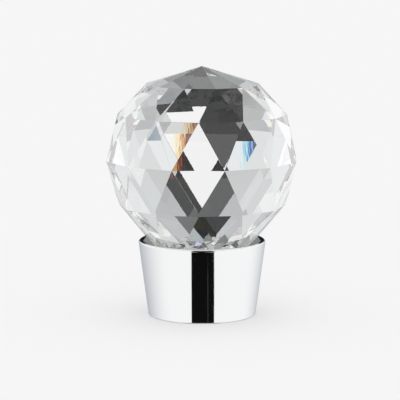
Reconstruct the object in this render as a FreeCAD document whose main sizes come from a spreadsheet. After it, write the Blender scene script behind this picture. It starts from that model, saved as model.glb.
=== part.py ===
"""Curtain pole finial: a facet-cut glass ball bonded into a chrome-plated collar.

The finial stands on the open mouth of its collar. The origin is the centre of that mouth, +Z runs
up the axis to the tip of the ball, and the side that faces the room is towards -Y. The grub screw
that clamps the pole is at the back, towards +Y. All sizes are in millimetres.
"""
import FreeCAD, Part
import math
import os
import Sketcher

SIZES = {
    # Pole socket in the lower part of the collar
    "pole_diameter": 28.0,
    "pole_clearance": 0.4,
    "socket_depth": 15.0,
    "socket_lead": 0.5,
    # Outside of the collar
    "mouth_wall": 1.4,
    "mouth_round": 0.3,
    "collar_height": 21.7,
    "rim_diameter": 36.9,
    # Dish that the ball sits in
    "lip_width": 1.5,
    "lip_round": 0.6,
    "web_thickness": 2.5,
    "dish_side_run": 3.6,
    # Grub screw and its tapped hole
    "screw_diameter": 4.0,
    "screw_length": 3.0,
    "screw_height": 7.5,
    "screw_setback": 0.2,
    "screw_point": 0.6,
    "screw_bevel": 0.3,
    "thread_play": 0.1,
    "key_flats": 2.0,
    "key_depth": 1.5,
    # Rings of the cut ball, measured from its girdle
    "facets_around": 12,
    "tip_rise": 26.75,
    "crown_radius": 16.65,
    "crown_rise": 21.55,
    "upper_radius": 24.35,
    "upper_rise": 12.95,
    "girdle_radius": 28.0,
    "lower_radius": 24.05,
    "lower_drop": 13.25,
    "lower_step": 1.0,
    "keel_radius": 16.5,
    "keel_drop": 22.15,
    "foot_drop": 27.7,
}

SOCKET_RADIUS = "(Sizes.pole_diameter + Sizes.pole_clearance) / 2"
MOUTH_RADIUS = SOCKET_RADIUS + " + Sizes.mouth_wall"
RIM_RADIUS = "Sizes.rim_diameter / 2"
DISH_RADIUS = RIM_RADIUS + " - Sizes.lip_width"
DISH_FLOOR = "Sizes.socket_depth + Sizes.web_thickness"

doc = FreeCAD.newDocument("finial")


def make_sheet():
    """Write the driving dimensions into a spreadsheet, one alias to a row."""
    sheet = doc.addObject("Spreadsheet::Sheet", "Sizes")
    for row, (name, value) in enumerate(SIZES.items(), start=1):
        sheet.set(f"A{row}", name)
        sheet.set(f"B{row}", str(value))
        sheet.setAlias(f"B{row}", name)
    doc.recompute()
    return sheet


def plane(body, role):
    """Return one of a body's own origin planes by its role."""
    return next(item for item in body.Origin.OriginFeatures if item.Role == role)


def new_sketch(body, name, role):
    """Add a sketch to a body, on one of its origin planes."""
    sketch = body.newObject("Sketcher::SketchObject", name)
    sketch.AttachmentSupport = (plane(body, role), [""])
    sketch.MapMode = "FlatFace"
    return sketch


def bind(sketch, kind, geometry, point, name, formula):
    """Hold one coordinate of a sketch point to a formula of the sheet's sizes."""
    start = getattr(sketch.getPoint(geometry, point), "x" if kind == "DistanceX" else "y")
    index = sketch.addConstraint(Sketcher.Constraint(kind, -1, 1, geometry, point, start))
    sketch.renameConstraint(index, name)
    sketch.setExpression(f"Constraints.{name}", formula)


def closed_profile(sketch, corners):
    """Draw a closed outline of straight lines. Each corner has a name and two formulas, or 0 on an axis."""
    points = []
    for name, across, up in corners:
        place = [0.0 if formula == "0" else sketch.evalExpression(formula) for formula in (across, up)]
        points.append(FreeCAD.Vector(float(place[0]), float(place[1]), 0))
    count = len(points)
    for index in range(count):
        line = Part.LineSegment(points[index], points[(index + 1) % count])
        sketch.addGeometry(line, False)
    for index in range(count):
        sketch.addConstraint(Sketcher.Constraint("Coincident", index, 2, (index + 1) % count, 1))
    for index, (name, across, up) in enumerate(corners):
        if across == "0":
            sketch.addConstraint(Sketcher.Constraint("PointOnObject", index, 1, -2))
        else:
            bind(sketch, "DistanceX", index, 1, f"{name}_across", across)
        if up == "0":
            sketch.addConstraint(Sketcher.Constraint("PointOnObject", index, 1, -1))
        else:
            bind(sketch, "DistanceY", index, 1, f"{name}_up", up)


def revolve(body, sketch, name):
    """Turn a sketch once around its own upright axis."""
    feature = body.newObject("PartDesign::Revolution", name)
    feature.Profile = sketch
    feature.ReferenceAxis = (sketch, ["V_Axis"])
    feature.Angle = 360
    doc.recompute()
    return feature


def circle_edges(feature, wanted):
    """Find the full circles of a turned solid by their radius and height."""
    names = []
    for index, edge in enumerate(feature.Shape.Edges, start=1):
        if not isinstance(edge.Curve, Part.Circle):
            continue
        radius, height = edge.Curve.Radius, edge.Curve.Center.z
        if any(abs(radius - r) < 0.01 and abs(height - z) < 0.01 for r, z in wanted):
            names.append(f"Edge{index}")
    if len(names) != len(wanted):
        raise RuntimeError(f"{feature.Name}: {len(names)} of {len(wanted)} edges found")
    return names


def fillet(body, base, name, radius_name, circles):
    """Round the named circles of a turned solid."""
    feature = body.newObject("PartDesign::Fillet", name)
    feature.Base = (base, circle_edges(base, circles))
    feature.setExpression("Radius", f"Sizes.{radius_name}")
    doc.recompute()
    return feature


def make_collar(sheet):
    """The plated collar: tapered wall, rounded lip, dish for the ball and socket for the pole."""
    body = doc.addObject("PartDesign::Body", "collar")
    section = new_sketch(body, "collar_section", "XZ_Plane")
    closed_profile(section, [
        ("socket_end", "0", "Sizes.socket_depth"),
        ("socket_corner", SOCKET_RADIUS, "Sizes.socket_depth"),
        ("lead_top", SOCKET_RADIUS, "Sizes.socket_lead"),
        ("lead_mouth", SOCKET_RADIUS + " + Sizes.socket_lead", "0"),
        ("mouth", MOUTH_RADIUS, "0"),
        ("rim", RIM_RADIUS, "Sizes.collar_height"),
        ("dish_edge", DISH_RADIUS, "Sizes.collar_height"),
        ("dish_corner", DISH_RADIUS + " - Sizes.dish_side_run", DISH_FLOOR),
        ("dish_middle", "0", DISH_FLOOR),
    ])
    turned = revolve(body, section, "collar_turned")

    rim_radius = sheet.rim_diameter / 2
    mouth_radius = (sheet.pole_diameter + sheet.pole_clearance) / 2 + sheet.mouth_wall
    lip = [(rim_radius, sheet.collar_height), (rim_radius - sheet.lip_width, sheet.collar_height)]
    rounded = fillet(body, turned, "lip_fillet", "lip_round", lip)
    rounded = fillet(body, rounded, "mouth_fillet", "mouth_round", [(mouth_radius, 0.0)])

    hole = new_sketch(body, "screw_hole_circle", "XZ_Plane")
    centre = FreeCAD.Vector(0, sheet.screw_height, 0)
    hole.addGeometry(Part.Circle(centre, FreeCAD.Vector(0, 0, 1), sheet.screw_diameter / 2), False)
    hole.addConstraint(Sketcher.Constraint("PointOnObject", 0, 3, -2))
    bind(hole, "DistanceY", 0, 3, "height", "Sizes.screw_height")
    width = hole.addConstraint(Sketcher.Constraint("Diameter", 0, sheet.screw_diameter))
    hole.renameConstraint(width, "width")
    hole.setExpression("Constraints.width", "Sizes.screw_diameter + Sizes.thread_play")
    before = rounded.Shape.Volume
    bored = body.newObject("PartDesign::Pocket", "screw_hole")
    bored.Profile = hole
    bored.Type = "ThroughAll"
    doc.recompute()
    if bored.Shape.Volume >= before:
        raise RuntimeError("the screw hole cuts nothing")
    return body


def make_grub_screw(sheet):
    """The set screw: a plain shank with a bevelled point and a hexagon socket, backed off from the pole."""
    body = doc.addObject("PartDesign::Body", "grub_screw")
    section = new_sketch(body, "screw_section", "XZ_Plane")
    radius = "Sizes.screw_diameter / 2"
    closed_profile(section, [
        ("point_middle", "0", "0"),
        ("point_edge", radius + " - Sizes.screw_point", "0"),
        ("point_top", radius, "Sizes.screw_point"),
        ("bevel_start", radius, "Sizes.screw_length - Sizes.screw_bevel"),
        ("bevel_end", radius + " - Sizes.screw_bevel", "Sizes.screw_length"),
        ("end_middle", "0", "Sizes.screw_length"),
    ])
    turned = revolve(body, section, "screw_turned")

    key = new_sketch(body, "key_hexagon", "XY_Plane")
    key.setExpression(".AttachmentOffset.Base.z", "Sizes.screw_length")
    reach = sheet.key_flats / math.sqrt(3)
    corners = [FreeCAD.Vector(reach * math.cos(math.radians(60 * step)),
                              reach * math.sin(math.radians(60 * step)), 0) for step in range(6)]
    for step in range(6):
        key.addGeometry(Part.LineSegment(corners[step], corners[(step + 1) % 6]), False)
    guide = key.addGeometry(Part.Circle(FreeCAD.Vector(), FreeCAD.Vector(0, 0, 1), reach), True)
    key.addConstraint(Sketcher.Constraint("Coincident", guide, 3, -1, 1))
    for step in range(6):
        key.addConstraint(Sketcher.Constraint("Coincident", step, 2, (step + 1) % 6, 1))
        key.addConstraint(Sketcher.Constraint("PointOnObject", step, 1, guide))
        if step:
            key.addConstraint(Sketcher.Constraint("Equal", 0, step))
    key.addConstraint(Sketcher.Constraint("PointOnObject", 0, 1, -1))
    across = key.addConstraint(Sketcher.Constraint("Radius", guide, reach))
    key.renameConstraint(across, "reach")
    key.setExpression("Constraints.reach", "Sizes.key_flats / sqrt(3)")
    before = turned.Shape.Volume
    socket = body.newObject("PartDesign::Pocket", "key_socket")
    socket.Profile = key
    socket.setExpression("Length", "Sizes.key_depth")
    doc.recompute()
    if socket.Shape.Volume >= before:
        raise RuntimeError("the key socket cuts nothing")

    to_back = FreeCAD.Rotation(FreeCAD.Vector(1, 0, 0), -90)
    body.Placement = FreeCAD.Placement(FreeCAD.Vector(), to_back)
    body.setExpression(".Placement.Base.y", SOCKET_RADIUS + " + Sizes.screw_setback")
    body.setExpression(".Placement.Base.z", "Sizes.screw_height")
    doc.recompute()
    return body


def seat_height(sheet, foot_radius, corner_slope):
    """Height of the ball's foot: the dish floor, or where a wider foot meets the lip or the dish side."""
    floor = sheet.socket_depth + sheet.web_thickness
    depth = sheet.collar_height - floor
    edge_radius = sheet.rim_diameter / 2 - sheet.lip_width
    floor_radius = edge_radius - sheet.dish_side_run
    on_lip = sheet.collar_height - (edge_radius - foot_radius) / corner_slope
    on_side = floor + (foot_radius - floor_radius) * depth / sheet.dish_side_run
    return max(floor, on_lip, on_side)


def make_crystal_ball(sheet):
    """The cut ball: rings of corners, each turned half a step from the last, joined by flat facets."""
    count = int(sheet.facets_around)
    step = 2 * math.pi / count
    half_cosine = math.cos(step / 2)
    # The main facets run from the lower ring past the keel ring, in one plane, down to the foot.
    keel_fall = (sheet.lower_radius - sheet.keel_radius * half_cosine) / (sheet.keel_drop - sheet.lower_drop)
    foot_radius = (sheet.lower_radius - keel_fall * (sheet.foot_drop - sheet.lower_drop)) / half_cosine
    girdle_height = seat_height(sheet, foot_radius, keel_fall / half_cosine) + sheet.foot_drop

    def ring(radius, rise, half_steps):
        """Corners at one height. With no half step the first corner faces the room."""
        angles = [step * (index + half_steps / 2) for index in range(count)]
        height = girdle_height + rise
        return [FreeCAD.Vector(radius * math.sin(a), -radius * math.cos(a), height) for a in angles]

    # The large facets under the girdle are a little deeper than the small ones, so two of them meet in
    # a short upright edge below each small one. Its upper end lies in their planes.
    short_drop = sheet.lower_drop - sheet.lower_step
    lower_fall = (sheet.girdle_radius - sheet.lower_radius * half_cosine) / sheet.lower_drop
    short_radius = (sheet.girdle_radius - lower_fall * short_drop) / half_cosine

    tip = FreeCAD.Vector(0, 0, girdle_height + sheet.tip_rise)
    crown = ring(sheet.crown_radius, sheet.crown_rise, 1)
    upper = ring(sheet.upper_radius, sheet.upper_rise, 0)
    girdle = ring(sheet.girdle_radius, 0, 1)
    short = ring(short_radius, -short_drop, 0)
    lower = ring(sheet.lower_radius, -sheet.lower_drop, 0)
    keel = ring(sheet.keel_radius, -sheet.keel_drop, 1)
    foot = ring(foot_radius, -sheet.foot_drop, 1)

    outlines = [foot]
    for this in range(count):
        after = (this + 1) % count
        before = (this - 1) % count
        outlines += [
            [tip, crown[this], crown[after]],
            [crown[this], upper[this], upper[after]],
            [upper[this], crown[before], crown[this]],
            [upper[this], girdle[before], girdle[this]],
            [girdle[this], upper[this], upper[after]],
            [girdle[this], short[this], lower[this], lower[after], short[after]],
            [short[this], girdle[before], girdle[this]],
            [keel[this], lower[this], lower[after]],
            [lower[this], keel[before], foot[before], foot[this], keel[this]],
        ]
    faces = [Part.Face(Part.makePolygon(outline + outline[:1])) for outline in outlines]
    shell = Part.makeShell(faces)
    shell.sewShape()
    solid = Part.makeSolid(shell)
    if solid.Volume < 0:
        solid.reverse()
    ball = doc.addObject("Part::Feature", "crystal_ball")
    ball.Shape = solid
    ball.Placement = FreeCAD.Placement()
    doc.recompute()
    return ball


sizes = make_sheet()
pieces = [make_collar(sizes), make_grub_screw(sizes), make_crystal_ball(sizes)]
for piece in pieces:
    piece.Label = piece.Name
doc.recompute()

for item in doc.Objects:
    if "Invalid" in item.State or "Error" in item.State:
        raise RuntimeError(f"{item.Name} failed: {item.State}")
os.makedirs("parts", exist_ok=True)
for piece in pieces:
    if piece.Shape.isNull() or not piece.Shape.isValid():
        raise RuntimeError(f"{piece.Label} has no valid shape")
    piece.Shape.exportStep(f"parts/{piece.Label}.step")
    box = piece.Shape.BoundBox
    print(f"{piece.Label}: {piece.Shape.Volume:.1f} mm3, "
          f"x {box.XMin:.2f} to {box.XMax:.2f}, y {box.YMin:.2f} to {box.YMax:.2f}, "
          f"z {box.ZMin:.2f} to {box.ZMax:.2f}")
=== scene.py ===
# %% [markdown]
# Curtain pole finial: a crystal ball, cut all over in flat facets, seated in a chrome-plated collar.
# The ball and the collar are nearly all reflection and refraction, so most of this lesson is about what
# they are shown: a pale studio with a few dark cards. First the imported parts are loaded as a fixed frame.

# %% Load the frame
import math

import bmesh
import bpy
from mathutils import Matrix, Vector


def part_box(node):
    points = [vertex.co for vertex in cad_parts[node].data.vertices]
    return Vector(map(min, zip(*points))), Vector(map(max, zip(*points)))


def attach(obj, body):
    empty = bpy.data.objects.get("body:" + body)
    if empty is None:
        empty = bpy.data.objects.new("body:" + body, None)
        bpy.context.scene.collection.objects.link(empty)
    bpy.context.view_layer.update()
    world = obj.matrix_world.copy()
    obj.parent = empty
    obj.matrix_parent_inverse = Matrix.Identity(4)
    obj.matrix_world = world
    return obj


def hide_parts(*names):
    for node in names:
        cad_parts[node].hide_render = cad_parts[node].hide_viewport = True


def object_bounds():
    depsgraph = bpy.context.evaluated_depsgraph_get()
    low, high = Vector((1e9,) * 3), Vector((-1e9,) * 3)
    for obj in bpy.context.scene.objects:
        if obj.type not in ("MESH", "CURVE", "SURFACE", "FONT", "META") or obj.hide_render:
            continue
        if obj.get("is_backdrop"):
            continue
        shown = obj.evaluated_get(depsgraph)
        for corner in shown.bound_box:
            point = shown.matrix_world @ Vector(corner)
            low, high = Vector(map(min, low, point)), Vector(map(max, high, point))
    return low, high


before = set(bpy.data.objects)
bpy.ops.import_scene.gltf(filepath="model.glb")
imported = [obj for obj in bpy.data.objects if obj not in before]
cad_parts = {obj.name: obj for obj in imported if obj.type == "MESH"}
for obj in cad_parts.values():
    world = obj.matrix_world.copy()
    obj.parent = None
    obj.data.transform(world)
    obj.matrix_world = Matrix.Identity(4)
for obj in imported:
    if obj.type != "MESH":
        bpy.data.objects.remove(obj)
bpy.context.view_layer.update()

MM = 0.001
scene = bpy.context.scene


def in_mm(lengths):
    """Lengths in metres as rounded millimetres, for printing."""
    return [round(length / MM, 3) for length in lengths]


ball_low, ball_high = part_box("crystal_ball")
collar_low, collar_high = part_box("collar")
screw_low, screw_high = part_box("grub_screw")
print("ball from", in_mm(ball_low), "to", in_mm(ball_high))
print("collar from", in_mm(collar_low), "to", in_mm(collar_high))
print("screw from", in_mm(screw_low), "to", in_mm(screw_high))

# %% [markdown]
# The camera stands about half a metre away, a little above the ball, and looks slightly down. Its place
# was worked out from the rings of facet corners and the two ends of the collar. A long lens keeps the
# upright lines nearly parallel. The lens follows from the focal length in picture widths.

# %% Camera
CAMERA_DISTANCE = 0.5358
CAMERA_HEIGHT = 0.11205
CAMERA_SIDESTEP = -0.00059
CAMERA_AZIMUTH = math.radians(2.278)
CAMERA_PITCH = math.radians(8.37)
SENSOR_WIDTH = 36.0
FOCAL_PER_WIDTH = 4.6863
FARTHEST_SEEN = 50.0

camera_data = bpy.data.cameras.new("camera")
camera_data.sensor_width = SENSOR_WIDTH
camera_data.lens = SENSOR_WIDTH * FOCAL_PER_WIDTH
camera_data.clip_end = FARTHEST_SEEN
camera = bpy.data.objects.new("camera", camera_data)
sideways = Vector((math.cos(CAMERA_AZIMUTH), math.sin(CAMERA_AZIMUTH), 0))
forwards = Vector((-math.sin(CAMERA_AZIMUTH), math.cos(CAMERA_AZIMUTH), 0))
camera.location = sideways * CAMERA_SIDESTEP - forwards * CAMERA_DISTANCE + Vector((0, 0, CAMERA_HEIGHT))
camera.rotation_euler = (math.pi / 2 - CAMERA_PITCH, 0, CAMERA_AZIMUTH)
scene.collection.objects.link(camera)
scene.camera = camera
scene.view_settings.view_transform = "Standard"
print("lens", round(camera_data.lens, 1), "mm, camera at", in_mm(camera.location))

# %% [markdown]
# The studio and every finish are node trees, and two nodes do most of the work in them: Math, and Mix,
# which lays one tone or colour over another where a mask is 1. Writing out each node and link would hide
# what a tree does, so small helpers make them. Each takes plain numbers or the outputs of other nodes.

# %% Helpers for node trees
# A Mix node has its own inputs A and B and its own result for each kind of data.
MIX_SOCKETS = {"FLOAT": (2, 3, 0), "RGBA": (6, 7, 2)}


def link(tree, source, output, target, socket):
    """Join one node's output to another node's input."""
    tree.links.new(source.outputs[output], target.inputs[socket])


def feed(tree, socket, value):
    """Give an input a plain number or colour, or join it to another node's output."""
    if isinstance(value, bpy.types.NodeSocket):
        tree.links.new(value, socket)
    else:
        socket.default_value = value


def math_node(tree, operation, *values):
    """The result of a Math node."""
    node = tree.nodes.new("ShaderNodeMath")
    node.operation = operation
    for socket, value in zip(node.inputs, values):
        feed(tree, socket, value)
    return node.outputs[0]


def lay_over(tree, under, mask, over, kind="FLOAT"):
    """One tone or colour laid over another where the mask is 1."""
    node = tree.nodes.new("ShaderNodeMix")
    node.data_type = kind
    first, second, result = MIX_SOCKETS[kind]
    feed(tree, node.inputs[0], mask)
    feed(tree, node.inputs[first], under)
    feed(tree, node.inputs[second], over)
    return node.outputs[result]


print("Mix nodes for", " and ".join(MIX_SOCKETS))

# %% [markdown]
# A product stands on pale card under even light from all round. The world gives that light at a plain
# strength of 1, and the floor's own colour makes the pale background. The floor keeps the soft contact
# shadow round the collar. Metal and glass look past the floor at the studio surround made below.

# %% World
PALE = 0.921

world = bpy.data.worlds.new("even_light")
world.use_nodes = True
scene.world = world
sky = world.node_tree
backdrop = sky.nodes["Background"]
backdrop.inputs["Color"].default_value = (1, 1, 1, 1)
seen = sky.nodes.new("ShaderNodeLightPath")
feed(sky, backdrop.inputs["Strength"], lay_over(sky, 1.0, seen.outputs["Is Camera Ray"], PALE))
print("world at strength 1, seen by the camera as", PALE)

# %% Floor
FLOOR_RADIUS = 6.0
FLOOR_SIDES = 96
NONE_YET = 0.5    # a count of bounces below this is zero


def finished(name, bm):
    """Make an object of a bmesh and put it in the scene."""
    mesh = bpy.data.meshes.new(name)
    bm.to_mesh(mesh)
    bm.free()
    piece = bpy.data.objects.new(name, mesh)
    scene.collection.objects.link(piece)
    return piece


def new_material(name, values):
    """A material, its node tree and its Principled shader, with plain values set on the shader."""
    material = bpy.data.materials.new(name)
    material.use_nodes = True
    tree = material.node_tree
    shader = tree.nodes["Principled BSDF"]
    for socket, value in values.items():
        shader.inputs[socket].default_value = value
    return material, tree, shader


pale_card, card_tree, card_shader = new_material("pale_card", {
    "Base Color": (PALE, PALE, PALE, 1),
    "Roughness": 1.0,
    "Specular IOR Level": 0.0,
})
seen_by = card_tree.nodes.new("ShaderNodeLightPath").outputs
shiny = math_node(card_tree, "MAXIMUM", seen_by["Is Glossy Ray"], seen_by["Is Transmission Ray"])
unlit = math_node(card_tree, "LESS_THAN", seen_by["Diffuse Depth"], NONE_YET)
clear = card_tree.nodes.new("ShaderNodeBsdfTransparent")
look_past = card_tree.nodes.new("ShaderNodeMixShader")
feed(card_tree, look_past.inputs["Fac"], math_node(card_tree, "MULTIPLY", shiny, unlit))
link(card_tree, card_shader, "BSDF", look_past, 1)
link(card_tree, clear, "BSDF", look_past, 2)
link(card_tree, look_past, "Shader", card_tree.nodes["Material Output"], "Surface")

bm = bmesh.new()
bmesh.ops.create_circle(bm, cap_ends=True, radius=FLOOR_RADIUS, segments=FLOOR_SIDES)
floor = finished("floor", bm)
floor.data.materials.append(pale_card)
floor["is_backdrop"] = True
print("floor radius", FLOOR_RADIUS, "m")

# %% [markdown]
# Clear glass has no colour of its own. What shows in each facet is one small patch of the studio behind
# it, bent there by the cut. A white tent alone would make the ball vanish, so a photographer hangs dark
# cards round it. Here one large sphere, seen by mirror and glass alone, carries them all: its material
# turns the direction into an azimuth and an elevation, and each card is a soft-edged box in those angles.

# %% A card as a node group
CARD_SOCKETS = ("Left", "Right", "Bottom", "Top", "Side Edge", "End Edge", "Lean")


def new_group(name, inputs, output):
    """A node group with number inputs, given with their defaults, and one number as its output."""
    group = bpy.data.node_groups.new(name, "ShaderNodeTree")
    for title, value in inputs.items():
        made = group.interface.new_socket(title, in_out="INPUT", socket_type="NodeSocketFloat")
        made.default_value = value
    group.interface.new_socket(output, in_out="OUTPUT", socket_type="NodeSocketFloat")
    return group, group.nodes.new("NodeGroupInput").outputs, group.nodes.new("NodeGroupOutput").inputs


def soft_span(tree, angle, low, high, edge):
    """A mask that is 1 between two angles and fades over an edge centred on each of them."""
    above = math_node(tree, "SUBTRACT", angle, low)
    below = math_node(tree, "SUBTRACT", high, angle)
    fade = tree.nodes.new("ShaderNodeMapRange")
    fade.interpolation_type = "SMOOTHSTEP"
    feed(tree, fade.inputs["Value"], math_node(tree, "MINIMUM", above, below))
    feed(tree, fade.inputs["From Min"], math_node(tree, "MULTIPLY", edge, -0.5))
    feed(tree, fade.inputs["From Max"], math_node(tree, "MULTIPLY", edge, 0.5))
    return fade.outputs["Result"]


def make_card_group():
    """A mask that is 1 inside a box of azimuth and elevation, in degrees. A lean slants its sides."""
    names = ("Azimuth", "Elevation", *CARD_SOCKETS)
    group, given, asked = new_group("studio_card", dict.fromkeys(names, 0.0), "Mask")
    elevation = given["Elevation"]
    middle = math_node(group, "MULTIPLY", math_node(group, "ADD", given["Bottom"], given["Top"]), 0.5)
    above_middle = math_node(group, "SUBTRACT", elevation, middle)
    shift = math_node(group, "MULTIPLY", above_middle, given["Lean"])
    azimuth = math_node(group, "ADD", given["Azimuth"], shift)
    across = soft_span(group, azimuth, given["Left"], given["Right"], given["Side Edge"])
    upright = soft_span(group, elevation, given["Bottom"], given["Top"], given["End Edge"])
    feed(group, asked["Mask"], math_node(group, "MULTIPLY", across, upright))
    return group


studio_card = make_card_group()
print("a card has", ", ".join(CARD_SOCKETS))

# %% [markdown]
# Behind the ball hang pale, grey and black cards, and in their middle is a bright window. They were set
# one by one, by looking up where each facet of the cut looks and comparing its tone with the real one.
# Later cards lie over earlier ones. A tone is a share of the tent's light, so a card stays in step with
# the tent, and one node group holds them all, because each colour of light looks at them once.

# %% The cards behind the ball
BACK_CARDS = [
    # (share of the tent's light, left, right, bottom, top, side edge, end edge)
    # Pale cards at both sides
    (0.86, 19.5, 35.0, -16.0, 33.0, 6.0, 8.0),
    (0.90, -35.0, -19.5, -16.0, 33.0, 6.0, 8.0),
    # Grey cards above
    (0.55, -45.0, 45.0, 44.5, 80.0, 6.0, 6.0),
    (0.57, -23.0, 23.0, 4.0, 42.0, 16.0, 16.0),
    (0.25, -16.0, 5.0, 33.0, 46.0, 3.0, 2.0),
    # Grey cards below
    (0.56, -31.0, 32.0, -64.0, -18.0, 16.0, 14.0),
    (0.49, -34.0, -20.0, -52.0, -38.0, 4.0, 6.0),
    (0.29, -25.0, 18.0, -54.0, -40.0, 10.0, 6.0),
    (0.25, -23.5, -5.0, -46.0, -29.0, 3.0, 3.0),
    # The tall dark card, and patches of it that are darker or paler
    (0.12, -14.78, 13.2, -31.0, 31.5, 0.3, 4.0),
    (0.05, -15.0, -4.0, 17.5, 33.0, 3.0, 3.0),
    (0.0, -4.4, 4.6, 19.0, 33.0, 1.0, 3.0),
    (0.19, 5.2, 13.2, 17.0, 31.0, 2.0, 3.0),
    (0.05, 5.0, 13.2, 5.0, 13.0, 2.0, 4.0),
    (0.03, 6.5, 12.9, -6.0, 1.0, 0.3, 2.0),
    (0.07, -14.0, -5.0, -14.0, -6.0, 2.0, 3.0),
    (0.015, -14.0, -5.0, -6.0, 1.0, 2.0, 2.0),
    # Black cards low down
    (0.045, -20.0, 9.5, -45.5, -28.0, 2.0, 1.5),
    (0.03, -19.5, -5.0, -30.0, -14.5, 1.5, 1.0),
    (0.03, 8.6, 15.58, -31.0, -18.5, 2.4, 1.0),
    # A pale gap beside the window
    (0.95, 5.5, 6.96, -6.0, -0.5, 0.5, 0.6),
]
WINDOW = (-6.0, 7.08, -25.5, 8.0, 0.5, 0.6, 0.05)
WINDOW_TONE = 0.935
WINDOW_SHADE = (4.5, 9.0, -27.0, -22.8, 1.0, 0.5)
WINDOW_SHADE_TONE = 0.68


def add_group(tree, group, values):
    """Place a node group in a tree with its own values."""
    node = tree.nodes.new("ShaderNodeGroup")
    node.node_tree = group
    for socket, value in values.items():
        feed(tree, node.inputs[socket], value)
    return node


def place_card(tree, azimuth, elevation, box):
    """One card's mask in a node tree. A box that ends before the lean stands upright."""
    values = {"Azimuth": azimuth, "Elevation": elevation, **dict(zip(CARD_SOCKETS, box))}
    return add_group(tree, studio_card, values).outputs["Mask"]


def make_back_group():
    """The tone of the tent, the cards and the window behind the ball, for a direction in degrees."""
    names = ("Azimuth", "Elevation", "Tent", "Shown")
    group, given, asked = new_group("cards_behind", dict.fromkeys(names, 0.0), "Tone")
    angles = (given["Azimuth"], given["Elevation"])
    share = 1.0
    for tone, *box in BACK_CARDS:
        share = lay_over(group, share, place_card(group, *angles, box), tone)
    share = lay_over(group, 1.0, given["Shown"], share)
    tent = math_node(group, "MULTIPLY", given["Tent"], share)
    pane = lay_over(group, WINDOW_TONE, place_card(group, *angles, WINDOW_SHADE), WINDOW_SHADE_TONE)
    feed(group, asked["Tone"], lay_over(group, tent, place_card(group, *angles, WINDOW), pane))
    return group


cards_behind = make_back_group()
print(len(BACK_CARDS), "cards behind the ball")

# %% [markdown]
# A ray that ends on the sphere has come in one of three ways. Straight light entered the ball and left it
# again. Deep light was also turned round inside, and after many turns it fades to a middle grey. Mirrored
# light came off the chrome or off the front of a facet. Each way is shown the studio a little differently,
# because no single set of cards gives dark facets, a bright outline and a bright collar together. Glass
# also bends blue more than red, so each colour sees the cards at its own spread, which makes the fringes.

# %% Directions and kinds of light
SURROUND_RADIUS = 10.0
STRAIGHT_DEPTH = 2.5    # fewer bounces than this are straight light
FADED_DEPTH = 6.5    # more bounces than this are faded


def add_directions(tree):
    """The azimuth from behind, the azimuth from the front and the elevation of a ray's end, in degrees."""
    place = tree.nodes.new("ShaderNodeTexCoord")
    parts = tree.nodes.new("ShaderNodeSeparateXYZ")
    link(tree, place, "Object", parts, "Vector")
    x, y, z = parts.outputs
    from_behind = math_node(tree, "ARCTAN2", x, y)
    from_front = math_node(tree, "ARCTAN2", x, math_node(tree, "MULTIPLY", y, -1.0))
    lift = math_node(tree, "ARCSINE", math_node(tree, "DIVIDE", z, SURROUND_RADIUS))
    return [math_node(tree, "MULTIPLY", angle, math.degrees(1)) for angle in (from_behind, from_front, lift)]


def add_light_kinds(tree):
    """Masks for straight, faded and mirrored light, and for light that falls on a matt surface."""
    path = tree.nodes.new("ShaderNodeLightPath").outputs
    straight = math_node(tree, "LESS_THAN", path["Ray Depth"], STRAIGHT_DEPTH)
    faded = math_node(tree, "GREATER_THAN", path["Ray Depth"], FADED_DEPTH)
    mirror = math_node(tree, "SUBTRACT", path["Is Glossy Ray"], path["Is Transmission Ray"])
    lit = math_node(tree, "GREATER_THAN", path["Diffuse Depth"], NONE_YET)
    return straight, faded, mirror, lit


print("straight light has up to", int(STRAIGHT_DEPTH), "bounces, faded light more than", int(FADED_DEPTH))

# %% The tent
ALL_ROUND = 200.0    # past half a turn, so that no side edge shows
OVERHEAD = 110.0    # past straight up, so that no end edge shows
# Tones for red, green and blue
TENT = (0.80, 0.82, 0.825)
DEEP_TENT = (1.0, 0.985, 0.94)
SIDE_PANEL = (48.0, 140.0, -70.0, 30.0, 14.0, 14.0)
SIDE_PANEL_TONE = 1.06
DEEP_LOW = (-ALL_ROUND, ALL_ROUND, -OVERHEAD, -42.0, 1.0, 10.0)
DEEP_LOW_TONE = 0.5


def add_tent(tree, azimuth, elevation, straight):
    """The tent's red, green and blue tones, brighter at both sides and, for deep light, darker below."""
    panel = place_card(tree, math_node(tree, "ABSOLUTE", azimuth), elevation, SIDE_PANEL)
    below = place_card(tree, azimuth, elevation, DEEP_LOW)
    tones = []
    for straight_tone, deep_tone in zip(TENT, DEEP_TENT):
        near = lay_over(tree, straight_tone, panel, SIDE_PANEL_TONE)
        deep = lay_over(tree, deep_tone, below, DEEP_LOW_TONE)
        tones.append(lay_over(tree, deep, straight, near))
    return tones


print("tent", TENT, "and for deep light", DEEP_TENT)

# %% [markdown]
# A mirror shows whatever stands in front of it, so the chrome needs a studio of its own: a wide front light
# that fades towards both sides, a bluish wall behind, a bright floor that turns dark under the finial, and
# one dark strip, as of a gap between two lights. The strip's sides lean differently, because the collar
# tapers. It goes on over the lip, and one thin streak of light runs down in it.

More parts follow.
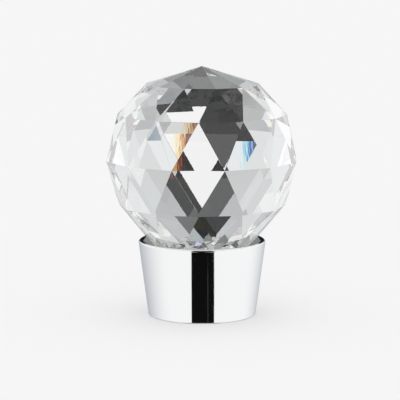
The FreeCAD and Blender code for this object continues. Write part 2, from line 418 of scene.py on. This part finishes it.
# %% The cards that mirrors see
BEYOND = 400.0    # past the fade of the other side
FRONT_LEFT = (-121.5, BEYOND, -32.0, 90.0, 110.0, 10.0)
FRONT_RIGHT = (-BEYOND, 143.0, -32.0, 90.0, 98.0, 10.0)
BACK_WALL = (-ALL_ROUND, ALL_ROUND, -60.0, 4.0, 1.0, 6.0)
BACK_WALL_TONE = (0.47, 0.50, 0.53)
STRIP_LEFT = (-21.3, 90.0, -43.4, -8.0, 0.6, 1.5, -1.4)
STRIP_RIGHT = (-90.0, 24.6, -43.4, -8.0, 0.6, 1.5, 1.9)
STRIP_TONE = 0.005
STREAK = (13.3, 13.9, -30.0, -25.4, 0.4, 1.2, 1.15)
STREAK_TONE = 0.10
MIRROR_CARDS = [
    # (azimuth that it is placed on, tone, left, right, bottom, top, side edge, end edge)
    # Dark overhead
    ("front", 0.15, -ALL_ROUND, ALL_ROUND, 58.0, OVERHEAD, 1.0, 20.0),
    # Bright floor at both sides, and the dark under the finial
    ("both sides", 0.92, 55.0, 125.0, -76.0, -37.0, 50.0, 8.0),
    ("both sides", 0.05, 50.0, ALL_ROUND, -OVERHEAD, -70.0, 20.0, 8.0),
    # A dark card behind, which shows in the lip
    ("behind", 0.02, -15.0, 15.0, 4.0, 30.0, 8.0, 4.0),
    # The strip where it goes on over the lip
    ("front", STRIP_TONE, -19.5, 23.0, -14.0, 56.0, 4.0, 6.0),
]


def place_two_sided(tree, azimuth, elevation, left_box, right_box):
    """The mask of a card whose left and right sides differ."""
    left = place_card(tree, azimuth, elevation, left_box)
    return math_node(tree, "MULTIPLY", left, place_card(tree, azimuth, elevation, right_box))


def add_strip(tree, front, elevation):
    """The mask of the dark strip, and its tone with the streak in it."""
    strip = place_two_sided(tree, front, elevation, STRIP_LEFT, STRIP_RIGHT)
    streak = place_card(tree, front, elevation, STREAK)
    return strip, lay_over(tree, STRIP_TONE, streak, STREAK_TONE)


def add_mirror_layers(tree, behind, front, elevation):
    """The front light and the cards that mirrors see, as pairs of a mask and a tone, the lowest first."""
    azimuths = {"behind": behind, "front": front, "both sides": math_node(tree, "ABSOLUTE", front)}
    layers = [(place_two_sided(tree, front, elevation, FRONT_LEFT, FRONT_RIGHT), 1.0)]
    for side, tone, *box in MIRROR_CARDS:
        layers.append((place_card(tree, azimuths[side], elevation, box), tone))
    return layers


print(len(MIRROR_CARDS), "cards for mirrors")

# %% [markdown]
# The surround's material puts these together, once for each colour. The cards behind the ball are hung
# again at every quarter turn for light through the glass, so that the ball has dark and bright facets
# from all sides, and they are left off where the outline of the ball looks.

# %% The surround's material
REPEAT_EVERY = 90.0
OPEN_SIDE = (45.0, 79.0, -OVERHEAD, OVERHEAD, 2.0, 2.0)
DEEP_SHARE = 0.4    # how strongly deep light sees the cards
COLOUR_SPREAD = 0.009    # how much wider blue sees them than green, and green than red
DEEP_SPREAD = 0.06    # the same for deep light
SPREAD_AZIMUTH = -5.0    # the direction that stays in place for all colours
SPREAD_ELEVATION = -9.5
STRIP_THROUGH_GLASS = 0.3
FADED_TONE = 0.58


def scaled(tree, angle, centre, factor):
    """An angle whose distance from a centre is multiplied by a factor."""
    away = math_node(tree, "SUBTRACT", angle, centre)
    return math_node(tree, "ADD", math_node(tree, "MULTIPLY", away, factor), centre)


def make_surround_material():
    """The tent and all its cards as plain light."""
    material, tree, glow = new_material("studio_surround", {
        "Base Color": (0, 0, 0, 1),
        "Specular IOR Level": 0.0,
        "Emission Strength": 1.0,
    })
    material.cycles.emission_sampling = "NONE"
    behind, front, elevation = add_directions(tree)
    straight, faded, mirror, lit = add_light_kinds(tree)
    tents = add_tent(tree, behind, elevation, straight)
    strip, strip_tone = add_strip(tree, front, elevation)
    wall = place_card(tree, behind, elevation, BACK_WALL)
    layers = add_mirror_layers(tree, behind, front, elevation)
    layers.append((strip, strip_tone))

    open_side = place_card(tree, math_node(tree, "ABSOLUTE", behind), elevation, OPEN_SIDE)
    shown = lay_over(tree, lay_over(tree, DEEP_SHARE, straight, 1.0), open_side, 0.0)
    repeated = math_node(tree, "WRAP", behind, REPEAT_EVERY / 2, -REPEAT_EVERY / 2)
    card_azimuth = lay_over(tree, repeated, mirror, behind)
    spread = lay_over(tree, DEEP_SPREAD, straight, COLOUR_SPREAD)
    colours = tree.nodes.new("ShaderNodeCombineColor")
    for index, side in enumerate((-1.0, 0.0, 1.0)):
        factor = math_node(tree, "ADD", math_node(tree, "MULTIPLY", spread, side), 1.0)
        cards = add_group(tree, cards_behind, {
            "Azimuth": scaled(tree, card_azimuth, SPREAD_AZIMUTH, factor),
            "Elevation": scaled(tree, elevation, SPREAD_ELEVATION, factor),
            "Tent": tents[index],
            "Shown": shown,
        }).outputs["Tone"]
        mirrored = lay_over(tree, cards, wall, BACK_WALL_TONE[index])
        for mask, tone in layers:
            mirrored = lay_over(tree, mirrored, mask, tone)
        through = lay_over(tree, cards, strip, STRIP_THROUGH_GLASS)
        through = lay_over(tree, through, faded, FADED_TONE)
        toned = lay_over(tree, through, mirror, mirrored)
        feed(tree, colours.inputs[index], lay_over(tree, toned, lit, 1.0))
    link(tree, colours, "Color", glow, "Emission Color")
    return material


studio_surround = make_surround_material()
print("surround material", len(studio_surround.node_tree.nodes), "nodes")

# %% The surround's sphere
SURROUND_STEPS = 5

bm = bmesh.new()
bmesh.ops.create_icosphere(bm, subdivisions=SURROUND_STEPS, radius=SURROUND_RADIUS)
bmesh.ops.reverse_faces(bm, faces=bm.faces)
surround = finished("studio_surround", bm)
surround.location = (0, 0, (ball_low.z + ball_high.z) / 2)
surround.rotation_euler = (0, 0, CAMERA_AZIMUTH)
surround.data.materials.append(studio_surround)
surround.visible_camera = False
surround.visible_diffuse = False
surround.visible_shadow = False
surround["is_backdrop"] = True
print("surround radius", SURROUND_RADIUS, "m, seen by mirror and glass alone")

# %% [markdown]
# No polished face is perfectly flat. A wheel leaves very shallow waves that run one way, far too fine to
# model, yet on glass they break the coloured fringes into streaks. They are made as noise stretched along
# the axis and used as a height in metres. Finger-worn metal also has patches that are a little less
# bright. Both effects serve more than one finish, so each is a node group with its own values per finish.

# %% Polish lines
def make_polish_group():
    """Fine waves left by polishing, long one way and narrow the other, as a height."""
    inputs = {"Across": 1000.0, "Along": 100.0, "Detail": 2.0}
    group, given, asked = new_group("polish_lines", inputs, "Height")
    place = group.nodes.new("ShaderNodeTexCoord")
    stretch = group.nodes.new("ShaderNodeCombineXYZ")
    for axis, name in (("X", "Across"), ("Y", "Across"), ("Z", "Along")):
        feed(group, stretch.inputs[axis], given[name])
    scale = group.nodes.new("ShaderNodeVectorMath")
    scale.operation = "MULTIPLY"
    link(group, place, "Object", scale, 0)
    link(group, stretch, "Vector", scale, 1)
    waves = group.nodes.new("ShaderNodeTexNoise")
    waves.inputs["Scale"].default_value = 1.0
    link(group, scale, "Vector", waves, "Vector")
    feed(group, waves.inputs["Detail"], given["Detail"])
    feed(group, asked["Height"], waves.outputs["Fac"])
    return group


polish_lines = make_polish_group()


def add_polish(tree, shader, lines, depth):
    """Bump a shader with polish lines of a real depth in metres."""
    bump = tree.nodes.new("ShaderNodeBump")
    bump.inputs["Strength"].default_value = 1.0
    bump.inputs["Distance"].default_value = depth
    link(tree, add_group(tree, polish_lines, lines), "Height", bump, "Height")
    link(tree, bump, "Normal", shader, "Normal")
    return bump


print("group", polish_lines.name)

# %% Smudges
PATCH_LOW = 0.35    # most of the noise lies between these two values
PATCH_HIGH = 0.65


def make_smudge_group():
    """Roughness that drifts between two values in soft patches."""
    inputs = {"Patches": 100.0, "Bright": 0.02, "Dull": 0.05}
    group, given, asked = new_group("smudges", inputs, "Roughness")
    place = group.nodes.new("ShaderNodeTexCoord")
    patches = group.nodes.new("ShaderNodeTexNoise")
    link(group, place, "Object", patches, "Vector")
    feed(group, patches.inputs["Scale"], given["Patches"])
    between = group.nodes.new("ShaderNodeMapRange")
    between.inputs["From Min"].default_value = PATCH_LOW
    between.inputs["From Max"].default_value = PATCH_HIGH
    link(group, patches, "Fac", between, "Value")
    feed(group, between.inputs["To Min"], given["Bright"])
    feed(group, between.inputs["To Max"], given["Dull"])
    feed(group, asked["Roughness"], between.outputs["Result"])
    return group


smudges = make_smudge_group()
print("group", smudges.name)

# %% [markdown]
# The glass is plain and clear, with the refractive index of crown glass. Roughness is zero, because every
# facet is polished. The waves are shown to the eye alone: rays that are already inside skip them, which
# keeps the many reflections near the outline from turning into grain. Light can turn round many times in
# the ball before it finds a way out, so the limits on bounces are high. Low ones would leave black specks.

# %% Crystal glass
GLASS_INDEX = 1.522
GLASS_LINES = {"Across": 900.0, "Along": 45.0, "Detail": 2.0}
GLASS_WAVE_DEPTH = 7.0e-6
BOUNCES = 100

glass, glass_tree, glass_shader = new_material("cut_crystal", {
    "Base Color": (1, 1, 1, 1),
    "Roughness": 0.0,
    "IOR": GLASS_INDEX,
    "Transmission Weight": 1.0,
})
glass_waves = add_polish(glass_tree, glass_shader, GLASS_LINES, GLASS_WAVE_DEPTH)
first_look = glass_tree.nodes.new("ShaderNodeLightPath")
link(glass_tree, first_look, "Is Camera Ray", glass_waves, "Strength")
for limit in ("max_bounces", "glossy_bounces", "transmission_bounces"):
    setattr(scene.cycles, limit, BOUNCES)
print("glass index", GLASS_INDEX, "and up to", BOUNCES, "bounces")

# %% [markdown]
# The ball's facets come straight from the CAD. A ground edge is never razor sharp, and its tiny flat
# catches a thin line of light, so a copy of the mesh gets all its edges softened by a few hundredths of
# a millimetre. The CAD mesh is loose triangles, so the copy is merged and its flat neighbours joined
# before the bevel. Weighted normals keep the facets flat and let only the softened edges look round.

# %% Soften the facet edges
FACET_EDGE = 0.045 * MM
FACET_EDGE_STEPS = 2
FLAT_ENOUGH = math.radians(0.5)
SAME_PLACE = 1e-7
LARGEST_FACE_ONLY = 100


def even_normals(piece):
    """Smooth shading in which large faces stay flat."""
    piece.data.shade_smooth()
    even = piece.modifiers.new("even_normals", "WEIGHTED_NORMAL")
    even.weight = LARGEST_FACE_ONLY
    even.keep_sharp = True


bm = bmesh.new()
bm.from_mesh(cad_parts["crystal_ball"].data)
bmesh.ops.remove_doubles(bm, verts=bm.verts, dist=SAME_PLACE)
bmesh.ops.dissolve_limit(bm, angle_limit=FLAT_ENOUGH, verts=bm.verts, edges=bm.edges)
facets = len(bm.faces)
bmesh.ops.bevel(bm, geom=bm.edges[:], offset=FACET_EDGE, offset_type="OFFSET", segments=FACET_EDGE_STEPS,
                profile=0.5, affect="EDGES", material=-1)
bmesh.ops.recalc_face_normals(bm, faces=bm.faces)
ball = finished("cut_ball", bm)
even_normals(ball)
ball.data.materials.append(glass)
ball.visible_diffuse = False
ball.visible_shadow = False
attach(ball, "root")
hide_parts("crystal_ball")
print("ball", facets, "facets", len(ball.data.polygons), "faces with softened edges")

# %% [markdown]
# Chrome is a bright mirror with a faint blue cast, so its colour is its reflectance. The dish and the flat
# top of the lip are painted a darker grey than the wall: painted shade in the recess and a painted dark line
# along the lip. Under the ball's ground foot it is covered by a dark resin bond, which is what darkens the
# tip as seen through the glass. One material holds all three: distance from the axis and height say where
# each begins.

# %% Chrome plate
CHROME = (0.905, 0.91, 0.915, 1)
CHROME_SMUDGES = {"Patches": 90.0, "Bright": 0.015, "Dull": 0.045}
# Painted shade: a darker grey over the dish and the flat top of the lip, in place of the chrome colour
DISH_PAINTED_SHADE = (0.20, 0.203, 0.206, 1)
PAINTED_SHADE_REACH = 17.7 * MM
BOND = (0.14, 0.14, 0.14, 1)
BOND_REACH = 11.3 * MM
BOND_ROUGHNESS = 0.6
DISH_LOW = ball_low.z - 0.5 * MM

chrome, chrome_tree, chrome_shader = new_material("chrome_plate", {})
place = chrome_tree.nodes.new("ShaderNodeTexCoord")
parts = chrome_tree.nodes.new("ShaderNodeSeparateXYZ")
link(chrome_tree, place, "Object", parts, "Vector")
x, y, z = parts.outputs
x_square = math_node(chrome_tree, "MULTIPLY", x, x)
y_square = math_node(chrome_tree, "MULTIPLY", y, y)
from_axis = math_node(chrome_tree, "SQRT", math_node(chrome_tree, "ADD", x_square, y_square))
above_web = math_node(chrome_tree, "GREATER_THAN", z, DISH_LOW)
# The first mask is the painted shade over the dish and the lip's flat top, the second the bond
painted_shade_mask, bonded = [
    math_node(chrome_tree, "MULTIPLY", math_node(chrome_tree, "LESS_THAN", from_axis, reach), above_web)
    for reach in (PAINTED_SHADE_REACH, BOND_REACH)
]
# Painted shade laid over the chrome colour in the dish and on the lip's flat top
chrome_with_painted_shade = lay_over(chrome_tree, CHROME, painted_shade_mask, DISH_PAINTED_SHADE, "RGBA")
worn = add_group(chrome_tree, smudges, CHROME_SMUDGES).outputs["Roughness"]
for socket, value in (
    ("Base Color", lay_over(chrome_tree, chrome_with_painted_shade, bonded, BOND, "RGBA")),
    ("Metallic", lay_over(chrome_tree, 1.0, bonded, 0.0)),
    ("Roughness", lay_over(chrome_tree, worn, bonded, BOND_ROUGHNESS)),
):
    feed(chrome_tree, chrome_shader.inputs[socket], value)
# The radius printed first is how far the painted shade reaches
print("dish plate to a radius of", in_mm([PAINTED_SHADE_REACH]), "mm, bond to", in_mm([BOND_REACH]), "mm")

# %% [markdown]
# The collar is a turned shape: one outline goes round the axis, from the pole socket, over the tapered
# wall and the lip, down into the dish. Spinning the outline is the way a lathe works, and a bevel on the
# rings of edges then gives the lip and the mouth the radii that catch the light. The dish floor lies a
# hair below the ball's foot to leave room for the bond. Many steps keep the mirror's curve smooth. The rim
# and the mouth are given at their sharp corners, before they are rounded.

# %% Turn the collar's outline
RIM_RADIUS = 18.45 * MM
MOUTH_RADIUS = 15.6 * MM
SOCKET_RADIUS = 14.2 * MM
SOCKET_DEPTH = 15.0 * MM
SOCKET_LEAD = 0.5 * MM
LIP_WIDTH = 1.5 * MM
DISH_SIDE_RUN = 3.6 * MM
BOND_THICKNESS = 0.08 * MM
TURNING_STEPS = 288


def draw_outline(bm, outline):
    """Draw corners of (radius, height) and the lines between them, ready to spin."""
    corners = [bm.verts.new((radius, 0, height)) for radius, height in outline]
    return corners + [bm.edges.new(pair) for pair in zip(corners, corners[1:])]


def turned(outline, steps):
    """Turn an outline once round the Z axis into a closed skin."""
    bm = bmesh.new()
    bmesh.ops.spin(bm, geom=draw_outline(bm, outline), cent=(0, 0, 0), axis=(0, 0, 1), angle=math.tau,
                   steps=steps, use_merge=True)
    bmesh.ops.remove_doubles(bm, verts=bm.verts, dist=SAME_PLACE)
    bmesh.ops.recalc_face_normals(bm, faces=bm.faces)
    return bm


rim_height = collar_high.z
dish_floor = ball_low.z - BOND_THICKNESS
dish_radius = RIM_RADIUS - LIP_WIDTH
mouth = (MOUTH_RADIUS, 0)
rim = (RIM_RADIUS, rim_height)
lip = (dish_radius, rim_height)
outline = [
    (0, SOCKET_DEPTH), (SOCKET_RADIUS, SOCKET_DEPTH), (SOCKET_RADIUS, SOCKET_LEAD),
    (SOCKET_RADIUS + SOCKET_LEAD, 0), mouth, rim, lip,
    (dish_radius - DISH_SIDE_RUN, dish_floor), (0, dish_floor),
]
bm = turned(outline, TURNING_STEPS)
print("turned", len(bm.faces), "faces from", len(outline), "corners")

# %% Round the lip and the mouth
MOUTH_ROUND = 0.3 * MM
LIP_ROUND = 0.6 * MM
ROUND_SEGMENTS = 8
ON_THE_RING = 1e-6


def at_corner(vert, corner):
    """Whether a vertex of a turned skin lies at a corner (radius, height) of its outline."""
    return (Vector((vert.co.xy.length, vert.co.z)) - Vector(corner)).length < ON_THE_RING


def round_ring(bm, corner, before, after, radius):
    """Round the ring of edges at one corner of a turned outline."""
    along = [Vector(corner) - Vector(before), Vector(after) - Vector(corner)]
    setback = radius * math.tan(along[0].angle(along[1]) / 2)
    ring = [edge for edge in bm.edges if all(at_corner(vert, corner) for vert in edge.verts)]
    bmesh.ops.bevel(bm, geom=ring, offset=setback, offset_type="OFFSET", segments=ROUND_SEGMENTS,
                    profile=0.5, affect="EDGES", material=-1)
    print("rounded", len(ring), "edges, set back", in_mm([setback]), "mm")


for corner, radius in ((mouth, MOUTH_ROUND), (rim, LIP_ROUND), (lip, LIP_ROUND)):
    index = outline.index(corner)
    round_ring(bm, corner, outline[index - 1], outline[index + 1], radius)
widest = max(vert.co.x for vert in bm.verts)
collar = finished("chrome_collar", bm)
print("collar", len(collar.data.polygons), "faces, widest radius", in_mm([widest]), "mm, in the CAD",
      in_mm([collar_high.x]), "mm")

# %% [markdown]
# At the back a hole goes through the wall for the grub screw that grips the pole. A Boolean with a
# cylinder cuts it cleanly through the tapered wall, which no single operator on the spun mesh would do.

# %% Drill the tapped hole
HOLE_RADIUS = 2.05 * MM
HOLE_SIDES = 64
SMOOTH_BELOW = math.radians(35)


def boolean(piece, other, operation):
    """Apply a Boolean of one piece with another, which is then deleted."""
    cut = piece.modifiers.new("cut", "BOOLEAN")
    cut.operation = operation
    cut.solver = "EXACT"
    cut.object = other
    bpy.context.view_layer.update()
    result = bpy.data.meshes.new_from_object(piece.evaluated_get(bpy.context.evaluated_depsgraph_get()))
    piece.modifiers.clear()
    old = piece.data
    piece.data = result
    bpy.data.meshes.remove(old)
    bpy.data.objects.remove(other)
    result.name = piece.name


def cutter(name, radius, sides, length, place):
    """A straight bar to cut with, round or with a few flat sides."""
    bm = bmesh.new()
    bmesh.ops.create_cone(bm, cap_ends=True, segments=sides, radius1=radius, radius2=radius, depth=length,
                          matrix=place)
    return finished(name, bm)


screw_middle = (screw_low + screw_high) / 2
screw_length = screw_high.y - screw_low.y
to_back = Matrix.Translation(screw_middle) @ Matrix.Rotation(-math.pi / 2, 4, "X")
drill_length = 3 * screw_length
boolean(collar, cutter("drill", HOLE_RADIUS, HOLE_SIDES, drill_length, to_back), "DIFFERENCE")
even_normals(collar)
collar.data.set_sharp_from_angle(angle=SMOOTH_BELOW)
collar.data.materials.clear()
collar.data.materials.append(chrome)
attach(collar, "root")
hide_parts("collar")
print("collar with hole", len(collar.data.polygons), "faces")

# %% [markdown]
# The grub screw is plain steel, a little darker and duller than the plating. Its smudges and fine lines
# come from the same two groups as the other finishes, with larger values.

# %% Screw steel
STEEL = (0.52, 0.52, 0.53, 1)
STEEL_SMUDGES = {"Patches": 700.0, "Bright": 0.22, "Dull": 0.38}
STEEL_LINES = {"Across": 9000.0, "Along": 1500.0, "Detail": 1.0}
STEEL_LINE_DEPTH = 1.0e-6

steel, steel_tree, steel_shader = new_material("screw_steel", {"Base Color": STEEL, "Metallic": 1.0})
link(steel_tree, add_group(steel_tree, smudges, STEEL_SMUDGES), "Roughness", steel_shader, "Roughness")
add_polish(steel_tree, steel_shader, STEEL_LINES, STEEL_LINE_DEPTH)
print("steel", steel.name)

# %% [markdown]
# A screw thread is one tooth that climbs as it turns. The spin operator makes it when every step also
# moves a little along the axis. The open ends are closed, a turned blank with coned ends trims the rod to
# length, and a six-sided cutter makes the key socket. The CAD keeps a plain shank of the same size.

# %% A threaded rod
THREAD_PITCH = 0.7 * MM
THREAD_TURNS = 6
THREAD_STEPS = 48
THREAD_HALF_ANGLE = math.radians(30)
ROOT_SHARE = 1 / 4    # flat stretches of the thread, as shares of its pitch
CREST_SHARE = 1 / 8


def threaded_rod(radius, pitch, turns, steps):
    """A closed rod with a sixty degree thread, its middle at the origin."""
    flank = pitch * (1 - ROOT_SHARE - CREST_SHARE) / 2
    root = radius - flank / math.tan(THREAD_HALF_ANGLE)
    low = -pitch * (turns + 1) / 2
    crest_start = low + pitch * ROOT_SHARE + flank
    tooth = [(root, low), (root, low + pitch * ROOT_SHARE), (radius, crest_start),
             (radius, crest_start + pitch * CREST_SHARE), (root, low + pitch)]
    bm = bmesh.new()
    bmesh.ops.spin(bm, geom=draw_outline(bm, tooth), cent=(0, 0, 0), axis=(0, 0, 1),
                   dvec=(0, 0, pitch / steps), angle=math.tau * turns, steps=steps * turns)
    bmesh.ops.remove_doubles(bm, verts=bm.verts, dist=2 * SAME_PLACE)
    bmesh.ops.holes_fill(bm, edges=bm.edges)
    bmesh.ops.recalc_face_normals(bm, faces=bm.faces)
    return bm


screw_radius = screw_high.x
screw = finished("threaded_screw", threaded_rod(screw_radius, THREAD_PITCH, THREAD_TURNS, THREAD_STEPS))
print("rod", len(screw.data.polygons), "faces")

# %% Trim the grub screw and cut its key socket
SCREW_POINT = 0.6 * MM
SCREW_BEVEL = 0.3 * MM
KEY_SIDES = 6
KEY_FLATS = 2.0 * MM
KEY_DEPTH = 1.5 * MM
SPARE = 0.2 * MM
SLIVER = 0.004 * MM


def clean(piece):
    """Merge the hair-thin slivers that a Boolean leaves, and count the edges that stay open."""
    bm = bmesh.new()
    bm.from_mesh(piece.data)
    bmesh.ops.remove_doubles(bm, verts=bm.verts, dist=SLIVER)
    bmesh.ops.dissolve_degenerate(bm, dist=SLIVER, edges=bm.edges)
    bmesh.ops.triangulate(bm, faces=[face for face in bm.faces if len(face.verts) > 4])
    bmesh.ops.recalc_face_normals(bm, faces=bm.faces)
    print(piece.name, sum(not edge.is_manifold for edge in bm.edges), "open edges")
    bm.to_mesh(piece.data)
    bm.free()


half = screw_length / 2
outside = screw_radius + SPARE
blank = [
    (0, -half), (screw_radius - SCREW_POINT, -half), (outside, SCREW_POINT + SPARE - half),
    (outside, half - SCREW_BEVEL - SPARE), (screw_radius - SCREW_BEVEL, half), (0, half),
]
boolean(screw, finished("blank", turned(blank, THREAD_STEPS * 2)), "INTERSECT")
key_radius = KEY_FLATS / math.sqrt(3)
key = cutter("key", key_radius, KEY_SIDES, 2 * KEY_DEPTH, Matrix.Translation((0, 0, half)))
boolean(screw, key, "DIFFERENCE")
clean(screw)
screw.data.transform(to_back)
screw.data.shade_smooth()
screw.data.set_sharp_from_angle(angle=SMOOTH_BELOW)
screw.data.materials.clear()
screw.data.materials.append(steel)
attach(screw, "root")
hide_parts("grub_screw")
print("screw", len(screw.data.polygons), "faces, along Y from",
      in_mm(pick(v.co.y for v in screw.data.vertices) for pick in (min, max)))

# %% [markdown]
# Last, the box round the finished pieces is measured and printed, in the same way as the CAD parts' boxes at
# the start.

# %% Sizes
visual_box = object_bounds()
print("size", [in_mm(corner) for corner in visual_box])
